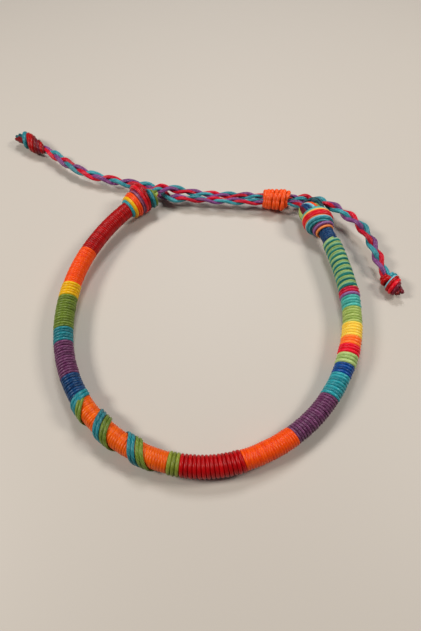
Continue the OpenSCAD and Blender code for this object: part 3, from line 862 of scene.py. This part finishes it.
def turn_line(knot, place, tilt, radius, thickness, first, lean):
    """A thread's line in a turn of the knot, at its place in mm along it and its radius.

    The tilt is how far the turn lies ahead of its place on the left, and behind on the right.
    Where it reaches the surface that the knot rests on, it lies flat on it."""
    table = np.array(KNOT_TURN)
    t = np.arange(0, table[-1, 0] + 1, TURN_STEP)
    angle = KNOT_FIRST + np.radians(t + first)
    share = (place + tilt * np.cos(angle)) / knot[3] + lean * (t / table[-1, 0] - 0.5)
    middle, ahead = knot_axis(knot, share)
    side = np.cross([0, 0, 1], ahead)
    out = side * np.cos(angle)[:, None] + np.outer(KNOT_SQUASH * np.sin(angle), [0, 0, 1])
    line = middle + out * (radius * np.interp(t, table[:, 0], table[:, 1]))[:, None]
    line[:, 2] = np.maximum(line[:, 2], thickness / 2)
    return line


def along_line(knot, radii, angle, twist, thickness):
    """A thread's line along the bundle, and its share of the length at each point."""
    table = smooth_route([row + (0,) for row in radii])[:, :2]
    share = np.linspace(*table[[0, -1], 0], BUNDLE_POINTS)
    middle, ahead = knot_axis(knot, share)
    side = np.cross([0, 0, 1], ahead)
    radius = np.maximum(np.interp(share, *table.T) * knot[4] - thickness / 2, 0)
    turn = np.radians(angle + twist * share)
    out = side * np.cos(turn)[:, None] + np.outer(KNOT_SQUASH * np.sin(turn), [0, 0, 1])
    line = middle + out * radius[:, None]
    line[:, 2] = np.maximum(line[:, 2], thickness / 2)
    return line, share


def tie_knot(name, turns, bundles, extra=()):
    """A knot of threads: its turns, and the bundles that run through it and out of it.

    A turn's row is colour, width, place, radius. A bundle's is colour, angle, thickness."""
    parts = list(extra)
    for axis, tilt, rows in turns:
        for colour, width, place, radius in rows:
            thickness = width * LAID_WIDER
            line = turn_line(axis, place, tilt, radius, thickness,
                             rng.uniform(-START_STRAY, START_STRAY), rng.uniform(*LEAN_STRAY))
            parts.append(thread_along(name, [line], thickness, THREADS[colour]))
    for axis, radii, twist, rows in bundles:
        for colour, angle, thickness in rows:
            line, share = along_line(axis, radii, angle, twist, thickness)
            sizes = np.interp(share, *np.transpose(TAPER))
            parts.append(thread_along(name, [line], thickness, THREADS[colour], [sizes]))
        # Fill the bundle's middle with dark thread: painted shade, seen in the gaps between its
        # threads
        share = np.linspace(radii[0][0], radii[-1][0], FILLING_POINTS)
        filled = np.interp(share, *np.transpose(radii)) * axis[4] * FILLED
        parts.append(thread_along(name, [knot_axis(axis, share)[0]], 2, THREADS["dark"], [filled]))
    return joined(name, parts)


# Axes in a knot: its start, its heading and bend in plan, its length, and its size as a share
# of an end knot
start_x, start_y = WRAP_START
away = math.radians(WRAP_HEADING + 180)
LEFT_KNOT = ((start_x + KNOT_GAP * math.cos(away), start_y + KNOT_GAP * math.sin(away), KNOT_H),
             math.radians(54), math.radians(-20), KNOT_LENGTH, 1.0)
LEFT_RED = ((LEFT_KNOT[0][0] - 0.5, LEFT_KNOT[0][1] + 0.4, KNOT_H),) + LEFT_KNOT[1:]
LEFT_REAR = ((-10.3, 21.9, KNOT_H), math.radians(27), math.radians(20), 5.5, 1.0)
LEFT_EXIT = ((-11.2, 22.0, KNOT_H), math.radians(46), math.radians(6), 4.6, 1.0)
end_x, end_y, away = CORE_END
RIGHT_KNOT = ((end_x + KNOT_GAP * math.cos(away), end_y + KNOT_GAP * math.sin(away), KNOT_H),
              math.radians(93), math.radians(58), KNOT_LENGTH, 1.0)
RIGHT_FOOT = ((end_x - 0.5, end_y + 0.6, KNOT_H), math.radians(103), math.radians(10),
              KNOT_LENGTH, 1.0)
RIGHT_COLLAR = ((end_x - 1.35, end_y + 1.4, KNOT_H), math.radians(97), math.radians(14),
                KNOT_LENGTH, 1.0)
RIGHT_REAR = ((37.9, 14.7, KNOT_H), math.radians(128), math.radians(8), 5.3, 1.0)
RIGHT_LOBE = ((39.7, 17.1, 4.5), math.radians(148), math.radians(6), 5.2, 1.0)
# Threads that close the back of the left knot's widest turn, all round it, and their thickness
BACK_THREADS = ("maroon", "plum", "red", "wine") * 4
BACK_THICKNESS = 1.5
piece = tie_knot(
    "left_end_knot",
    ((LEFT_KNOT, 0.5, (
        ("aqua", 0.95, 0.2, 2.35), ("yellow", 1.1, 1.0, 2.85), ("orange", 0.9, 1.85, 3.2),
        ("orange", 0.9, 2.6, 3.4), ("maroon", 0.5, 3.2, 3.3), ("mauve", 0.65, 3.65, 3.45),
        ("plum", 0.7, 4.2, 3.45))),
     (LEFT_RED, 0.5, (("cherry", 1.1, 5.0, 4.0), ("scarlet", 1.2, 6.0, 3.95))),
     (LEFT_REAR, 0, (
         ("deep", 0.6, 0.2, 2.4), ("teal", 0.9, 0.85, 2.5), ("green", 0.8, 1.6, 2.3)))),
    ((LEFT_KNOT, MIDDLE_RADII, 50, (
        ("red", 0, 1.2), ("teal", 60, 1.2), ("lilac", 120, 1.2), ("orange", 180, 1.2),
        ("blue", 240, 1.2), ("green", 300, 1.2))),
     (LEFT_RED, BACK_RADII, 30, [
         (colour, 360 / len(BACK_THREADS) * place, BACK_THICKNESS)
         for place, colour in enumerate(BACK_THREADS)]),
     (LEFT_EXIT, EXIT_RADII, 30, (
         ("cherry", 20, 1.1), ("lilac", 60, 1.1), ("green", 100, 1.1), ("leaf", 140, 1.1)))))
finish(piece, "knot_threads", "end_knot_left")
piece = tie_knot(
    "right_end_knot",
    # The foot's last turn, in dark teal, is painted shade: the dark underside of the knot below
    # its teal turn
    ((RIGHT_FOOT, 0.0, (
        ("peach", 0.65, -0.1, 2.2), ("wine", 0.55, 0.35, 2.35), ("lilac", 0.75, 0.85, 2.65),
        ("plum", 0.55, 1.3, 2.75), ("deep", 0.8, 1.8, 2.8))),
     (RIGHT_COLLAR, 0.1, (
         ("sea", 0.7, 0.65, 3.0), ("teal", 0.85, 1.15, 3.4), ("sky", 0.65, 1.65, 3.6))),
     (RIGHT_COLLAR, 0.35, (
         ("peach", 0.45, 2.05, 3.7), ("cherry", 1.05, 2.65, 3.72), ("cherry", 1.05, 3.5, 3.72),
         ("sun", 0.7, 4.2, 3.8), ("mint", 1.0, 4.85, 3.5), ("fern", 0.9, 5.6, 3.0)))),
    ((RIGHT_KNOT, MIDDLE_RADII, 50, (
        ("teal", 0, 1.2), ("blue", 60, 1.2), ("lilac", 120, 1.2), ("red", 180, 1.2),
        ("green", 240, 1.2), ("orange", 300, 1.2))),
     (RIGHT_COLLAR, FOOT_RADII, 30, (
         ("wine", 0, 1.3), ("plum", 60, 1.3), ("wine", 120, 1.3), ("plum", 180, 1.3),
         ("wine", 240, 1.3), ("plum", 300, 1.3))),
     (RIGHT_REAR, FAN_RADII, 12, (
         ("green", -30, 1.05), ("leaf", -13, 1.05), ("leaf", 4, 1.05), ("wine", 21, 1.05),
         ("wine", 36, 1.0), ("blue", 52, 1.05), ("blue", 68, 1.05), ("sky", 84, 0.95),
         ("orange", 100, 1.05), ("green", 117, 1.05), ("deep", 134, 1.05), ("deep", 150, 1.05),
         ("deep", 166, 1.05), ("teal", 183, 1.05))),
     # The lobe behind the knot, in dark teal and the darker night: painted shade, for the shade
     # that it lies in
     (RIGHT_LOBE, LOBE_RADII, 20, (
         ("night", -12, 1.05), ("night", 9, 1.05), ("night", 30, 1.05), ("deep", 51, 1.05),
         ("night", 72, 1.05), ("deep", 93, 1.05), ("night", 114, 1.05), ("deep", 135, 1.05),
         ("teal", 156, 1.05), ("deep", 177, 1.05)))))
finish(piece, "knot_threads", "end_knot_right")

# Tail knots: the free end of each plait is tied in a small overhand knot of its three
# strands, and the waxed threads are cut off just past it, so that their ends stand out.
TAIL_LEFT = ((-55.3, 54.1, 2.6), math.radians(-36), math.radians(3), 11.6, 0.55)
TAIL_RIGHT = ((56.0, -9.7, 2.3), math.radians(113), math.radians(-8), 5.9, 0.5)
TAIL_RIGHT_TEAL = ((56.7, -9.4, 2.3),) + TAIL_RIGHT[1:]
TAIL_RIGHT_RED = ((55.2, -10.0, 2.3),) + TAIL_RIGHT[1:]
TAIL_RADII = ((0.06, 1.2), (0.2, 2.7), (0.5, 3.0), (0.8, 2.1), (1, 1.0))
# Threads of a cut end, how far they tip down, how much shorter each is than the one before,
# their distance from the middle at the knot, and how much further out they are at the tip
TIP_THREADS = 3
TIP_TILT = math.radians(4)
TIP_SHORTER = 0.08
TIP_ASIDE = 0.45
TIP_SPREAD = 0.25
TIP_POINTS = 16
# Share of a thread's end that is rounded off, and how far the rounding goes
TIP_ROUNDED = 0.2
TIP_ROUNDED_TO = 0.97


def tip_lines(knot, along, aside, length, turn, thickness):
    """Threads of a cut end, close together at the knot and a little apart at the tip."""
    at, heading = knot[:2]
    way = heading + math.pi + math.radians(turn)
    ahead = np.array([math.cos(way), math.sin(way), -math.sin(TIP_TILT)])
    level = np.array([-math.sin(way), math.cos(way), 0])
    start = np.array(at) + np.array([
        along * math.cos(heading) - aside * math.sin(heading),
        along * math.sin(heading) + aside * math.cos(heading), 0])
    share = np.linspace(0, 1, TIP_POINTS)[:, None]
    aside = thickness * (TIP_ASIDE + TIP_SPREAD * share ** 2)
    lines = []
    for number in range(TIP_THREADS):
        angle = 2 * math.pi * number / TIP_THREADS + math.pi / 6
        out = level * math.cos(angle) + np.array([0, 0, 1]) * math.sin(angle)
        reach = length * (1 - TIP_SHORTER * number)
        lines.append(start + ahead * reach * share + out * aside)
    return lines


def tips(knot, rows):
    """The cut ends of a tail knot, each thread of them rounded off where it is sealed."""
    made = []
    for colour, thickness, along, aside, length, turn in rows:
        lines = tip_lines(knot, along, aside, length, turn, thickness)
        share = np.linspace(0, 1, TIP_POINTS)
        past = np.clip((share - 1 + TIP_ROUNDED) / TIP_ROUNDED, 0, TIP_ROUNDED_TO)
        sizes = [np.sqrt(1 - past ** 2)] * TIP_THREADS
        made.append(thread_along("tip", lines, thickness, THREADS[colour], sizes))
    return made


piece = tie_knot(
    "left_tail_knot",
    ((TAIL_LEFT, -1.9, (("teal", 1.5, 1.8, 1.75),)),
     (TAIL_LEFT, -2.6, (
         ("dark", 0.4, 2.9, 1.8), ("red", 1.35, 3.8, 2.0), ("red", 1.35, 5.0, 2.05),
         ("maroon", 1.3, 6.3, 1.9), ("wine", 1.0, 7.3, 1.65))),
     (TAIL_LEFT, -1.4, (
         ("maroon", 1.3, 8.2, 1.4), ("red", 1.1, 9.1, 1.2), ("maroon", 0.9, 9.8, 1.0)))),
    ((TAIL_LEFT, TAIL_RADII, 50, (
        ("red", 0, 1.1), ("deep", 90, 1.1), ("violet", 180, 1.1), ("wine", 270, 1.1))),),
    tips(TAIL_LEFT, (("deep", 1.05, 0.8, 0.35, 3.5, 8), ("maroon", 1.05, 2.0, -0.95, 3.7, 3))))
finish(piece, "knot_threads", "tail_knot_left")
piece = tie_knot(
    "right_tail_knot",
    ((TAIL_RIGHT, -0.8, (
        ("wine", 0.85, 0.45, 1.45), ("cherry", 1.0, 1.3, 1.8), ("red", 1.0, 2.2, 1.9),
        ("sky", 0.5, 2.85, 1.9))),
     (TAIL_RIGHT_TEAL, -0.5, (("teal", 1.1, 3.5, 1.15), ("lagoon", 0.9, 4.3, 0.85))),
     (TAIL_RIGHT_RED, 0.2, (("scarlet", 1.2, 3.3, 1.1), ("red", 1.0, 4.2, 0.9)))),
    ((TAIL_RIGHT, TAIL_RADII, 50, (("red", 0, 0.9), ("teal", 120, 0.9), ("violet", 240, 0.9))),),
    tips(TAIL_RIGHT, (("wine", 1.05, 0.9, -0.55, 2.5, -14), ("maroon", 1.05, 0.8, 0.75, 2.3, 20))))
finish(piece, "knot_threads", "tail_knot_right")

# Core: the bundle of cords inside the wraps. It shows only as a dark line between two
# wraps, so the solid stays as it is, in waxed cord of the threads' own mixed dye.
CORE_DARK = (60, 22, 26)
CORE_PALE = (120, 60, 52)
CORE_GRAIN = 2200
CORE_ROUGH = 0.7


def core_material():
    """Waxed cord of mixed dye, darker and paler from fibre to fibre."""
    material = bpy.data.materials.new("core_cord")
    material.use_nodes = True
    tree = material.node_tree
    shader = tree.nodes["Principled BSDF"]
    place = tree.nodes.new("ShaderNodeTexCoord")
    fibres = noise(tree, place.outputs["Object"], CORE_GRAIN, 3.0)
    dyed = mixed(tree, fibres, paint(*CORE_DARK), paint(*CORE_PALE))
    tree.links.new(dyed, shader.inputs["Base Color"])
    shader.inputs["Roughness"].default_value = CORE_ROUGH
    return material


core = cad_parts["core_cord"]
core.data.materials.clear()
core.data.materials.append(core_material())
